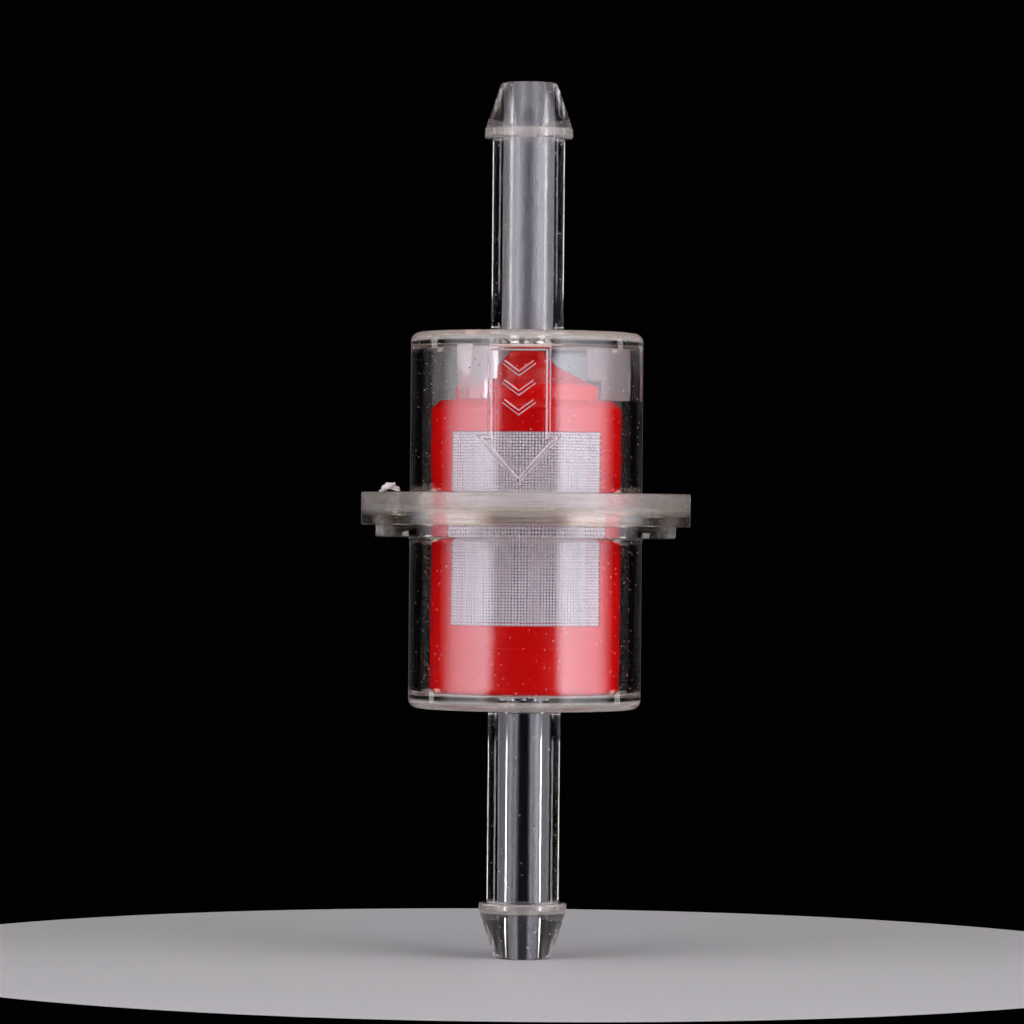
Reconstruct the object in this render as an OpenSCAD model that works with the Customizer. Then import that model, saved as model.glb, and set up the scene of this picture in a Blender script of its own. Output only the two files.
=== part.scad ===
// In-line fuel filter: two clear moulded halves, welded together round a screened cage.
// +Z runs along the flow axis towards the inlet, and -Y is the side with the flow arrow.
// The origin is on the axis, midway between the two tips.

/* [Hose tails] */
// Outside diameter of each hose tail
tail_d = 6.4; // [5.3:0.1:9]
// Length of each tail, from the body's end face to its tip
tail_l = 22.15; // [14:0.05:40]
// Diameter of the fuel passage through each tail
bore_d = 3; // [2:0.1:3.8]
// Width of the chamfer round each mouth of the passage
bore_chamfer = 0.25; // [0.1:0.05:0.4]
// Radius of the fillet where a tail meets the body
tail_root_r = 0.4; // [0.1:0.1:1]

/* [Hose barbs] */
// How far a barb stands proud of its tail
barb_lip = 0.7; // [0.3:0.05:1.2]
// How far a barb's tip lies inside the tail's outline
tip_inset = 0.75; // [0.3:0.05:0.85]
// Length of a barb, from its rear shoulder to the tip
barb_l = 4.95; // [3:0.05:8]
// Length of the cylindrical land at the barb's largest diameter
barb_land = 0.75; // [0.4:0.05:2]
// Radius of the barb's rounded rear edge
barb_edge_r = 0.22; // [0.05:0.01:0.3]
// Radius of the rounded edge at the tip
tip_edge_r = 0.3; // [0.1:0.05:0.5]

/* [Body] */
// Outside diameter of both halves of the body
body_d = 20.6; // [17:0.1:26]
// Thickness of the side wall
wall_t = 1.1; // [0.8:0.1:1.5]
// Thickness of the closed ends
end_t = 1.2; // [0.8:0.1:2]
// Height of the inlet half, from the parting line to its end face
inlet_h = 17.1; // [13.5:0.05:30]
// Depth of the outlet half, from the parting line to its end face
outlet_h = 16.2; // [10:0.05:30]
// Radius of the body's outer corners
body_corner_r = 0.85; // [0.3:0.05:1.1]
// Radius of the body's inner corners
cavity_corner_r = 0.4; // [0.1:0.1:0.8]

/* [Welded flange] */
// Diameter of the inlet half's flange
flange_d = 29.2; // [28:0.1:40]
// Thickness of the inlet half's flange
flange_t = 2.9; // [2.4:0.1:5]
// Width of the small chamfers on the flanges
flange_chamfer = 0.12; // [0.05:0.01:0.3]
// Width of the flange's rim round the outlet half's disc
rim_w = 1.3; // [0.8:0.1:1.5]
// How far the outlet half's disc shows below the parting line
disc_step = 1.05; // [0.5:0.05:3]
// How deep the disc sits in the flange's socket
socket_depth = 1.6; // [0.8:0.1:1.8]
// Radial gap between the disc and the socket
socket_gap = 0.08; // [0.04:0.01:0.2]
// Gap between the disc's face and the socket's floor, which the weld fills
weld_gap = 0.15; // [0.05:0.05:0.4]
// Width of the weld bead, midway between the cavity and the disc's edge
weld_w = 1.2; // [0.6:0.1:1.8]
// Radius of the fillet under the disc
disc_root_r = 0.4; // [0.1:0.1:0.8]
// Size of the crumb of flash left on the flange
flash_size = 1.25; // [0.6:0.05:1.6]
// Direction of the crumb, counted from the arrow side
flash_azimuth = -74; // [-180:1:180]

/* [Cage] */
// Width of the fuel space between the cage and the body's wall
cage_gap = 0.8; // [0.5:0.05:1.5]
// Thickness of the cage's wall
cage_wall = 1; // [0.8:0.1:1.3]
// Head room above the cage's shoulder, which the ribs fill
head_room = 4.85; // [3.6:0.05:6]
// Width and height of the chamfer round the shoulder
shoulder_chamfer = 0.7; // [0.3:0.1:0.8]
// Width of the shoulder round the raised tier
shoulder_w = 2; // [1.2:0.1:2.4]
// Height of the tier above the shoulder
tier_h = 1.5; // [0.8:0.1:1.6]
// Radius of the tier's rounded edge
tier_edge_r = 0.6; // [0.2:0.1:0.7]
// Diameter of the boss at the cone's foot
boss_d = 5.2; // [4.2:0.1:6]
// Diameter of the boss's flat top
boss_top_d = 2.8; // [1:0.1:3.4]
// Rise of the shallow cone between the tier and the boss
cone_rise = 1.6; // [0.5:0.1:1.7]
// Height of the boss above the cone
boss_h = 1.4; // [0.4:0.05:1.45]
// Width of the chamfer round the cage's lower edge
foot_chamfer = 0.4; // [0.1:0.1:0.6]
// Gap between the cage and what holds it
cage_play = 0.05; // [0.02:0.01:0.1]

/* [Screens] */
// Angle that each window spans
window_angle = 98; // [60:1:120]
// Height of the solid band below the windows
bottom_band_h = 6.2; // [3:0.1:12]
// Height of the solid band between the windows and the shoulder
top_band_h = 2.8; // [2.2:0.05:8]
// Thickness of the screen cloth
screen_t = 0.16; // [0.1:0.01:0.3]
// How far the cloth lies below the cage's outer face
screen_inset = 0.1; // [0.08:0.01:0.3]
// How far the cloth reaches into the plastic round its window
screen_grip = 0.7; // [0.3:0.1:1]

/* [Locating ribs] */
// Number of ribs under the inlet half's end
rib_count = 3; // [2:1:6]
// Direction of the first rib, counted from the arrow side
rib_azimuth = -35; // [-180:1:180]
// Thickness of a rib at its root
rib_root_t = 1.7; // [1.2:0.1:2.4]
// Thickness of a rib at its free end
rib_end_t = 1; // [0.6:0.1:1.2]
// How far each rib reaches in over the tier
rib_lap = 1.1; // [0.5:0.1:1.8]
// Gap between the ribs and the side of the tier
rib_gap = 0.15; // [0.05:0.05:0.3]
// Gap between the cage's bore and the centring ring on the outlet half's floor
ring_gap = 0.1; // [0.05:0.05:0.3]
// Height of the centring ring
ring_h = 0.9; // [0.4:0.1:2]
// Thickness of the centring ring
ring_t = 0.8; // [0.5:0.1:1.2]

/* [Flow arrow] */
// Height of the raised marks above the body's wall
mark_h = 0.18; // [0.1:0.02:0.3]
// Width of the lines that draw the marks
mark_w = 0.36; // [0.2:0.02:0.5]
// Direction of the arrow's centre line, counted from the front
arrow_azimuth = -4; // [-30:1:30]
// Length of the arrow's head
arrow_head_l = 3.8; // [2:0.1:5]
// Width of the arrow's shaft
shaft_w = 5.1; // [3:0.1:6]
// Width of the arrow's head
head_w = 6.6; // [6.2:0.1:9]
// Distance from the body's end face to the arrow's top
arrow_top = 1.65; // [1.2:0.05:2]
// Distance from the flange to the arrow's point
arrow_bottom = 1; // [0.4:0.05:3]
// Number of chevrons inside the shaft
chevron_count = 3; // [1:1:5]
// Width of a chevron
chevron_w = 2.7; // [1.5:0.1:2.8]
// Drop from a chevron's ends to its point
chevron_drop = 1; // [0.5:0.1:1.2]
// Spacing of the chevrons
chevron_pitch = 1.7; // [1.4:0.1:2]
// Distance from the arrow's top to the first chevron
chevron_top = 1.2; // [0.8:0.1:1.6]

/* [Hidden] */

tail_r = tail_d / 2;
bore_r = bore_d / 2;
barb_r = tail_r + barb_lip;
barb_tip_r = tail_r - tip_inset;
body_r = body_d / 2;
cavity_r = body_r - wall_t;
flange_r = flange_d / 2;
disc_r = flange_r - rim_w;
weld_r = (cavity_r + disc_r) / 2;
cage_r = cavity_r - cage_gap;
cage_bore_r = cage_r - cage_wall;
tier_r = cage_r - shoulder_w;
tier_top_r = tier_r - tier_edge_r;
rib_inner_r = tier_r - rib_lap;
ring_r = cage_bore_r - ring_gap;

// Heights along the axis
parting_z = (outlet_h - inlet_h) / 2;
inlet_end_z = parting_z + inlet_h;
outlet_end_z = parting_z - outlet_h;
inlet_tip_z = inlet_end_z + tail_l;
flange_top_z = parting_z + flange_t;
socket_top_z = parting_z + socket_depth;
disc_top_z = socket_top_z - weld_gap;
disc_bottom_z = parting_z - disc_step;
ceiling_z = inlet_end_z - end_t;
floor_z = outlet_end_z + end_t;
foot_z = floor_z + cage_play;
shoulder_z = ceiling_z - head_room;
tier_z = shoulder_z + tier_h;
cone_z = tier_z + cone_rise;
boss_z = cone_z + boss_h;
sill_z = foot_z + bottom_band_h;
window_top_z = shoulder_z - top_band_h;
rib_foot_z = shoulder_z + cage_play;
// Height at which a rib steps over the tier, clear of the cone under its inner edge
cone_slope = cone_rise / (tier_top_r - boss_d / 2);
rib_step_z = tier_z + max(0, tier_top_r - rib_inner_r) * cone_slope + cage_play;

arrow_l = inlet_h - flange_t - arrow_top - arrow_bottom;

clear_plastic = [0.86, 0.86, 0.82, 0.35];
// How far cutting shapes run past the faces that they cut
cut = 0.5;
$fn = 96;

// A straight line of the marks' width between two points, with round ends
module stroke(a, b) {
    run = b - a;
    translate(a)
        rotate(atan2(run[1], run[0]))
            translate([0, -mark_w / 2])
                square([norm(run), mark_w]);
    for (end = [a, b])
        translate(end)
            circle(d = mark_w);
}

module stroke_path(points) {
    for (i = [1 : len(points) - 1])
        stroke(points[i - 1], points[i]);
}

// The flow arrow and its chevrons, seen from the front, with the arrow's top at the origin
module arrow_marks() {
    half_shaft = shaft_w / 2;
    half_head = head_w / 2;
    neck = arrow_head_l - arrow_l;
    stroke_path([
        [0, -arrow_l], [-half_head, neck], [-half_shaft, neck], [-half_shaft, 0],
        [half_shaft, 0], [half_shaft, neck], [half_head, neck], [0, -arrow_l]
    ]);
    for (i = [0 : chevron_count - 1]) {
        top = -chevron_top - i * chevron_pitch;
        stroke_path([
            [-chevron_w / 2, top], [0, top - chevron_drop], [chevron_w / 2, top]
        ]);
    }
}

module raised_arrow() {
    rotate(arrow_azimuth)
        intersection() {
            translate([0, 0, inlet_end_z - arrow_top])
                rotate([90, 0, 0])
                    linear_extrude(body_r + cut)
                        arrow_marks();
            translate([0, 0, parting_z])
                difference() {
                    cylinder(r = body_r + mark_h, h = inlet_h);
                    cylinder(r = body_r - wall_t / 2, h = inlet_h);
                }
        }
}

// Half outline of a barb, standing on its rear shoulder with its tip up
module barb_outline() {
    side_angle = atan((barb_r - barb_tip_r) / (barb_l - barb_land));
    edge_x = barb_tip_r - tip_edge_r * (1 - sin(side_angle)) / cos(side_angle);
    edge_y = barb_l - tip_edge_r;
    polygon([
        [0, 0], [barb_r - barb_edge_r, 0], [barb_r, barb_edge_r], [barb_r, barb_land],
        [edge_x + tip_edge_r * cos(side_angle), edge_y + tip_edge_r * sin(side_angle)],
        [edge_x, barb_l], [0, barb_l]
    ]);
    translate([barb_r - barb_edge_r, barb_edge_r])
        circle(r = barb_edge_r);
    translate([edge_x, edge_y])
        circle(r = tip_edge_r);
}

// Half outline of a tail with its root fillet, from the body's end face at height 0
module tail_outline() {
    square([tail_r, tail_l - barb_l]);
    difference() {
        square([tail_r + tail_root_r, tail_root_r]);
        translate([tail_r + tail_root_r, tail_root_r])
            circle(r = tail_root_r);
    }
    translate([0, tail_l - barb_l])
        barb_outline();
}

// Half outline of the passage, from below the end wall at height 0 to past the tip
module passage_outline() {
    translate([0, -end_t - cut])
        square([bore_r, tail_l + end_t + 2 * cut]);
    translate([0, tail_l])
        polygon([
            [0, -bore_r - bore_chamfer], [bore_r + bore_chamfer + cut, cut], [0, cut]
        ]);
    translate([0, -end_t])
        polygon([
            [0, bore_r + bore_chamfer], [bore_r + bore_chamfer + cut, -cut], [0, -cut]
        ]);
}

// A block from the axis out to a radius, with its upper outer corner rounded
module rounded_block(radius, height, corner) {
    square([radius - corner, height]);
    square([radius, height - corner]);
    translate([radius - corner, height - corner])
        circle(r = corner);
}

// Half outline of the cavity in one half, from the parting line up to the end wall
module cavity_outline(height) {
    translate([0, -cut])
        rounded_block(cavity_r, height - end_t + cut, cavity_corner_r);
}

module chamfered_band(radius, height, chamfer) {
    polygon([
        [0, 0], [radius - chamfer, 0], [radius, chamfer], [radius, height - chamfer],
        [radius - chamfer, height], [0, height]
    ]);
}

// One rib, reaching inwards from the wall on the arrow side, with a step round the tier
module rib() {
    height = ceiling_z - rib_foot_z + end_t / 2;
    reach = cavity_r + wall_t / 2;
    difference() {
        translate([0, -rib_inner_r, rib_foot_z])
            rotate([90, 0, 0])
                linear_extrude(reach - rib_inner_r)
                    polygon([
                        [-rib_end_t / 2, 0], [rib_end_t / 2, 0],
                        [rib_root_t / 2, height], [-rib_root_t / 2, height]
                    ]);
        translate([0, 0, rib_foot_z - cut])
            cylinder(r = tier_r + rib_gap, h = rib_step_z - rib_foot_z + cut);
    }
}

module inlet_housing() {
    color(clear_plastic) {
        rotate_extrude()
            difference() {
                union() {
                    translate([0, parting_z])
                        rounded_block(body_r, inlet_h, body_corner_r);
                    translate([0, parting_z])
                        chamfered_band(flange_r, flange_t, flange_chamfer);
                    translate([0, inlet_end_z])
                        tail_outline();
                }
                translate([0, parting_z])
                    cavity_outline(inlet_h);
                translate([0, inlet_end_z])
                    passage_outline();
                translate([0, parting_z - cut])
                    square([disc_r + socket_gap, socket_depth + cut]);
            }
        for (i = [0 : rib_count - 1])
            rotate(rib_azimuth + i * 360 / rib_count)
                rib();
        raised_arrow();
    }
}

module outlet_housing() {
    color(clear_plastic)
        rotate_extrude()
            difference() {
                union() {
                    translate([0, parting_z])
                        mirror([0, 1])
                            rounded_block(body_r, outlet_h, body_corner_r);
                    translate([0, disc_bottom_z])
                        chamfered_band(disc_r, disc_top_z - disc_bottom_z, flange_chamfer);
                    translate([0, disc_bottom_z - disc_root_r])
                        difference() {
                            square([body_r + disc_root_r, disc_root_r]);
                            translate([body_r + disc_root_r, 0])
                                circle(r = disc_root_r);
                        }
                    translate([0, outlet_end_z])
                        mirror([0, 1])
                            tail_outline();
                }
                difference() {
                    translate([0, parting_z])
                        mirror([0, 1])
                            cavity_outline(outlet_h);
                    translate([ring_r - ring_t, floor_z - cut])
                        square([ring_t, ring_h + cut]);
                }
                translate([0, parting_z])
                    square([cavity_r, flange_t]);
                translate([0, outlet_end_z])
                    mirror([0, 1])
                        passage_outline();
            }
}

// Half outline of the solid cage, before it is hollowed
module cage_outline() {
    polygon([
        [0, foot_z], [cage_r - foot_chamfer, foot_z], [cage_r, foot_z + foot_chamfer],
        [cage_r, shoulder_z - shoulder_chamfer], [cage_r - shoulder_chamfer, shoulder_z],
        [tier_r, shoulder_z], [tier_r, tier_z - tier_edge_r],
        [tier_top_r, tier_z], [boss_d / 2, cone_z], [boss_top_d / 2, boss_z], [0, boss_z]
    ]);
    translate([tier_top_r, tier_z - tier_edge_r])
        circle(r = tier_edge_r);
}

// Half outline of the cage's hollow, which keeps the wall even under the tier and the cone
module cage_hollow_outline() {
    polygon([
        [0, foot_z - cut], [cage_bore_r, foot_z - cut],
        [cage_bore_r, shoulder_z - cage_wall - shoulder_chamfer],
        [cage_bore_r - shoulder_chamfer, shoulder_z - cage_wall],
        [tier_r - cage_wall, shoulder_z - cage_wall],
        [tier_r - cage_wall, tier_z - cage_wall - tier_edge_r],
        [boss_d / 2 - cage_wall / 2, cone_z - cage_wall], [0, cone_z - cage_wall]
    ]);
}

// A turned sector centred on one side, from an inner to an outer radius
module sector(inner, outer, low, high, angle, azimuth) {
    rotate(azimuth - 90 - angle / 2)
        rotate_extrude(angle = angle)
            translate([inner, low])
                square([outer - inner, high - low]);
}

// The cloth of one screen, which reaches into the cage all round its window
module screen_cloth(azimuth) {
    outer = cage_r - screen_inset;
    grip_angle = screen_grip / cage_r * 180 / PI;
    sector(
        outer - screen_t, outer, sill_z - screen_grip, window_top_z + screen_grip,
        window_angle + 2 * grip_angle, azimuth
    );
}

module filter_cage() {
    color([0.8, 0.05, 0.05])
        difference() {
            rotate_extrude()
                difference() {
                    cage_outline();
                    cage_hollow_outline();
                }
            for (azimuth = [0, 180]) {
                sector(
                    cage_bore_r - cut, cage_r + cut, sill_z, window_top_z,
                    window_angle, azimuth
                );
                screen_cloth(azimuth);
            }
        }
}

module front_screen() {
    color([0.93, 0.93, 0.95])
        screen_cloth(0);
}

module rear_screen() {
    color([0.93, 0.93, 0.95])
        screen_cloth(180);
}

// The melted ring that joins the disc's face to the socket's floor
module weld_bead() {
    color([0.9, 0.88, 0.8, 0.8])
        rotate_extrude()
            translate([weld_r - weld_w / 2, disc_top_z])
                square([weld_w, weld_gap]);
}

// A crumb of plastic squeezed out by the weld and left on top of the flange
module weld_flash() {
    lumps = [
        [0, 0, 0.5], [0.1, 0.45, 0.36], [-0.06, -0.42, 0.34], [-0.3, 0.12, 0.3], [0.1, -0.75, 0.2]
    ];
    color([0.95, 0.93, 0.92])
        rotate(flash_azimuth)
            translate([0, -(flange_r + body_r) / 2, flange_top_z])
                intersection() {
                    translate([-2 * flash_size, -2 * flash_size, 0])
                        cube([4 * flash_size, 4 * flash_size, flash_size]);
                    for (lump = lumps)
                        translate([lump[0], lump[1], lump[2] * 0.6] * flash_size)
                            sphere(r = lump[2] * flash_size);
                }
}

inlet_housing();
outlet_housing();
filter_cage();
front_screen();
rear_screen();
weld_bead();
weld_flash();
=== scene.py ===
"""Looks of an in-line fuel filter: two clear welded halves round a red cage with woven screens.

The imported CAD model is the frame. Lengths below are in millimetres and become metres when
they are used; +Z points at the inlet and -Y is the side with the flow arrow.
"""

import math

import bmesh
import bpy
import numpy as np
from mathutils import Matrix, Vector, noise


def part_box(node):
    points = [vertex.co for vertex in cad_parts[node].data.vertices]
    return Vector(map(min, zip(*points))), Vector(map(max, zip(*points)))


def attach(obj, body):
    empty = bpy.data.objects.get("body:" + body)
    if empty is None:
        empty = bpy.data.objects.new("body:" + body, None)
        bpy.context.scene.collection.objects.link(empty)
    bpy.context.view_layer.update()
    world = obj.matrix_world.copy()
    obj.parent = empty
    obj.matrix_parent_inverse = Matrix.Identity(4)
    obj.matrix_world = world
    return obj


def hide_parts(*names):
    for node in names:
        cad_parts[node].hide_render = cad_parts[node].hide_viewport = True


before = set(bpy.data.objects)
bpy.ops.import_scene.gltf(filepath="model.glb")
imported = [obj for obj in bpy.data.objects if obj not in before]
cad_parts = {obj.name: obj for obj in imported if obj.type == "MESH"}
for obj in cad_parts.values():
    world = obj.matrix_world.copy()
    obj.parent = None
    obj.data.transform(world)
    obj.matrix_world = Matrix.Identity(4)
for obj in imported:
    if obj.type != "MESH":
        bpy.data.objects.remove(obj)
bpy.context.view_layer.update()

MM = 0.001

# ---------------------------------------------------------------- sizes, from the frame


def corner_mm(node):
    """Lowest and highest corner of a CAD node, in millimetres."""
    low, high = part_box(node)
    return low / MM, high / MM


INLET_LOW, INLET_HIGH = corner_mm("inlet_housing")
OUTLET_LOW, OUTLET_HIGH = corner_mm("outlet_housing")
CAGE_LOW, CAGE_HIGH = corner_mm("filter_cage")
BEAD_LOW, BEAD_HIGH = corner_mm("weld_bead")
FLASH_LOW, FLASH_HIGH = corner_mm("weld_flash")

TIP_Z = INLET_HIGH.z
PARTING_Z = INLET_LOW.z
FLANGE_R = INLET_HIGH.x
DISC_R = OUTLET_HIGH.x
DISC_TOP_Z = OUTLET_HIGH.z
CAGE_R = CAGE_HIGH.x
FOOT_Z = CAGE_LOW.z
BOSS_Z = CAGE_HIGH.z

# Sizes that the frame's boxes don't give, as the CAD model has them; only MARK_W is wider
# here than in CAD, where it is 0.36, because a narrower line was lost over the cloth
TAIL_R = 3.2
TAIL_L = 22.15
BORE_R = 1.5
BORE_CHAMFER = 0.25
TAIL_ROOT_R = 0.4
BARB_R = 3.9
BARB_TIP_R = 2.45
BARB_L = 4.95
BARB_LAND = 0.75
BARB_EDGE_R = 0.22
BARB_LAND_R = 0.6
TIP_EDGE_R = 0.3
BODY_R = 10.3
WALL_T = 1.1
END_T = 1.2
BODY_ROOT_R = 0.18
BODY_CORNER_R = 0.85
CAVITY_CORNER_R = 0.4
FLANGE_T = 2.9
FLANGE_CHAMFER = 0.12
DISC_STEP = 1.05
DISC_ROOT_R = 0.4
SOCKET_GAP = 0.08
BEAD_W = 1.2
CAGE_WALL = 1.0
SHOULDER_CHAMFER = 0.7
SHOULDER_W = 2.0
TIER_H = 1.5
TIER_EDGE_R = 0.6
CONE_RISE = 1.6
BOSS_R = 2.6
BOSS_TOP_R = 1.4
HEAD_ROOM = 4.85
FOOT_CHAMFER = 0.4
BOTTOM_BAND_H = 6.2
TOP_BAND_H = 2.8
WINDOW_ANGLE = math.radians(98)
CLOTH_GRIP = 0.5
RIB_AZIMUTH = math.radians(-35)
RIB_COUNT = 3
RIB_ROOT_T = 1.7
RIB_END_T = 1.0
RIB_LAP = 1.1
RIB_GAP = 0.15
RIB_EDGE = 0.14
PLAY = 0.05
RING_GAP = 0.1
RING_H = 0.9
RING_T = 0.8
ARROW_AZIMUTH = math.radians(-4)
ARROW_TOP = 1.65
ARROW_BOTTOM = 1.0
ARROW_HEAD_L = 3.8
SHAFT_W = 5.1
HEAD_W = 6.6
MARK_H = 0.18
MARK_W = 0.42
CHEVRON_COUNT = 3
CHEVRON_W = 2.7
CHEVRON_DROP = 1.0
CHEVRON_PITCH = 1.7
CHEVRON_TOP = 1.2

INLET_END_Z = TIP_Z - TAIL_L
OUTLET_END_Z = -INLET_END_Z
CAVITY_R = BODY_R - WALL_T
CEILING_Z = INLET_END_Z - END_T
FLOOR_Z = OUTLET_END_Z + END_T
FLANGE_TOP_Z = PARTING_Z + FLANGE_T
SOCKET_TOP_Z = BEAD_HIGH.z
DISC_BOTTOM_Z = PARTING_Z - DISC_STEP
SHOULDER_Z = CEILING_Z - HEAD_ROOM
TIER_R = CAGE_R - SHOULDER_W
TIER_TOP_R = TIER_R - TIER_EDGE_R
TIER_Z = SHOULDER_Z + TIER_H
CONE_Z = TIER_Z + CONE_RISE
SILL_Z = FOOT_Z + BOTTOM_BAND_H
WINDOW_TOP_Z = SHOULDER_Z - TOP_BAND_H
CAGE_BORE_R = CAGE_R - CAGE_WALL
RIB_INNER_R = TIER_R - RIB_LAP
RIB_FOOT_Z = SHOULDER_Z + PLAY
RIB_STEP_Z = TIER_Z + (TIER_TOP_R - RIB_INNER_R) * CONE_RISE / (TIER_TOP_R - BOSS_R) + PLAY
ARROW_L = INLET_END_Z - FLANGE_TOP_Z - ARROW_TOP - ARROW_BOTTOM

# ---------------------------------------------------------------- mesh helpers


def make_object(name, verts, faces):
    """A mesh object from points in millimetres."""
    mesh = bpy.data.meshes.new(name)
    mesh.from_pydata([tuple(c * MM for c in v) for v in verts], [], faces)
    mesh.validate()
    obj = bpy.data.objects.new(name, mesh)
    bpy.context.scene.collection.objects.link(obj)
    return obj


def smooth(obj, angle=32):
    """Smooth shading that keeps edges sharper than the angle, in degrees."""
    mesh = obj.data
    mesh.polygons.foreach_set("use_smooth", [True] * len(mesh.polygons))
    mesh.set_sharp_from_angle(angle=math.radians(angle))
    mesh.update()


def face_outwards(obj):
    """Turns all faces of a closed mesh outwards."""
    bm = bmesh.new()
    bm.from_mesh(obj.data)
    bmesh.ops.recalc_face_normals(bm, faces=bm.faces)
    bm.to_mesh(obj.data)
    bm.free()


def apply_modifiers(obj):
    """Puts the modifiers' result into the object's own mesh."""
    depsgraph = bpy.context.evaluated_depsgraph_get()
    mesh = bpy.data.meshes.new_from_object(obj.evaluated_get(depsgraph))
    obj.modifiers.clear()
    obj.data = mesh


def even_normals(obj):
    """Lets the larger faces set the normals, so that flat sides read as flat."""
    mod = obj.modifiers.new("normals", "WEIGHTED_NORMAL")
    mod.keep_sharp = True
    mod.weight = 80
    apply_modifiers(obj)


def bevel(obj, width, segments=2, angle=40):
    """Rounds the edges sharper than the angle, in millimetres and degrees."""
    mod = obj.modifiers.new("bevel", "BEVEL")
    mod.width = width * MM
    mod.segments = segments
    mod.limit_method = "ANGLE"
    mod.angle_limit = math.radians(angle)
    mod.use_clamp_overlap = True
    apply_modifiers(obj)


def unite(obj, others):
    """Joins closed meshes into obj as one skin, and removes them."""
    for other in others:
        mod = obj.modifiers.new("join", "BOOLEAN")
        mod.operation = "UNION"
        mod.solver = "MANIFOLD"
        mod.object = other
        apply_modifiers(obj)
        bpy.data.objects.remove(other)


def arc(centre_r, centre_z, radius, start, end, steps=6):
    """Points along an arc in the (radius, height) plane; angles in degrees from outwards."""
    turns = np.linspace(math.radians(start), math.radians(end), steps + 1)
    return [(centre_r + radius * math.cos(t), centre_z + radius * math.sin(t)) for t in turns]


def line(start, end, steps):
    """Points from start up to, but without, the end."""
    return [
        (start[0] + (end[0] - start[0]) * i / steps, start[1] + (end[1] - start[1]) * i / steps)
        for i in range(steps)
    ]


def spin(name, loop, segments=256):
    """Turns a closed (radius, height) loop round the axis into one closed skin."""
    count = len(loop)
    verts, faces = [], []
    for s in range(segments):
        turn = 2 * math.pi * s / segments
        sine, cosine = math.sin(turn), math.cos(turn)
        verts += [(r * sine, -r * cosine, z) for r, z in loop]
        after = (s + 1) % segments
        faces += [
            (s * count + i, s * count + (i + 1) % count,
             after * count + (i + 1) % count, after * count + i)
            for i in range(count)
        ]
    obj = make_object(name, verts, faces)
    face_outwards(obj)
    return obj


# ---------------------------------------------------------------- clear halves


def tail_outside():
    """Outline of a hose tail and its barb, from the body's end face up to the tip's mouth."""
    shoulder = TAIL_L - BARB_L
    lean = math.atan((BARB_R - BARB_TIP_R) / (BARB_L - BARB_LAND))
    edge_r = BARB_TIP_R - TIP_EDGE_R * (1 - math.sin(lean)) / math.cos(lean)
    edge_z = TAIL_L - TIP_EDGE_R
    return [
        *arc(TAIL_R + TAIL_ROOT_R, TAIL_ROOT_R, TAIL_ROOT_R, 270, 180),
        *line((TAIL_R, TAIL_ROOT_R + 0.5), (TAIL_R, shoulder), 8),
        (TAIL_R, shoulder),
        *arc(BARB_R - BARB_EDGE_R, shoulder + BARB_EDGE_R, BARB_EDGE_R, 270, 360),
        *arc(BARB_R - BARB_LAND_R, shoulder + BARB_LAND - 0.1, BARB_LAND_R, 0, math.degrees(lean), 3),
        *arc(edge_r, edge_z, TIP_EDGE_R, math.degrees(lean), 90),
        (BORE_R + BORE_CHAMFER, TAIL_L),
    ]


def tail_inside():
    """Outline of the passage, from the tip's mouth down to the cavity."""
    return [
        (BORE_R, TAIL_L - BORE_CHAMFER),
        *line((BORE_R, TAIL_L - 1), (BORE_R, BORE_CHAMFER - END_T), 8),
        (BORE_R, BORE_CHAMFER - END_T),
        (BORE_R + BORE_CHAMFER, -END_T),
    ]


def inlet_loop():
    """Closed outline of the inlet half."""
    c = FLANGE_CHAMFER
    root = BODY_ROOT_R
    corner = BODY_R - BODY_CORNER_R
    socket_r = DISC_R + SOCKET_GAP
    return [
        *line((socket_r, PARTING_Z), (FLANGE_R - c, PARTING_Z), 2),
        *arc(FLANGE_R - c, PARTING_Z + c, c, 270, 360, 3),
        *arc(FLANGE_R - c, FLANGE_TOP_Z - c, c, 0, 90, 3),
        *arc(BODY_R + root, FLANGE_TOP_Z + root, root, 270, 180, 4),
        *line((BODY_R, FLANGE_TOP_Z + 0.7), (BODY_R, INLET_END_Z - BODY_CORNER_R - 0.3), 12),
        *arc(corner, INLET_END_Z - BODY_CORNER_R, BODY_CORNER_R, 0, 90, 8),
        *[(r, z + INLET_END_Z) for r, z in tail_outside()],
        *[(r, z + INLET_END_Z) for r, z in tail_inside()],
        *arc(CAVITY_R - CAVITY_CORNER_R, CEILING_Z - CAVITY_CORNER_R, CAVITY_CORNER_R, 90, 0),
        *line((CAVITY_R, CEILING_Z - CAVITY_CORNER_R - 0.4), (CAVITY_R, SOCKET_TOP_Z), 10),
        (CAVITY_R, SOCKET_TOP_Z),
        (socket_r, SOCKET_TOP_Z),
    ]


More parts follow.
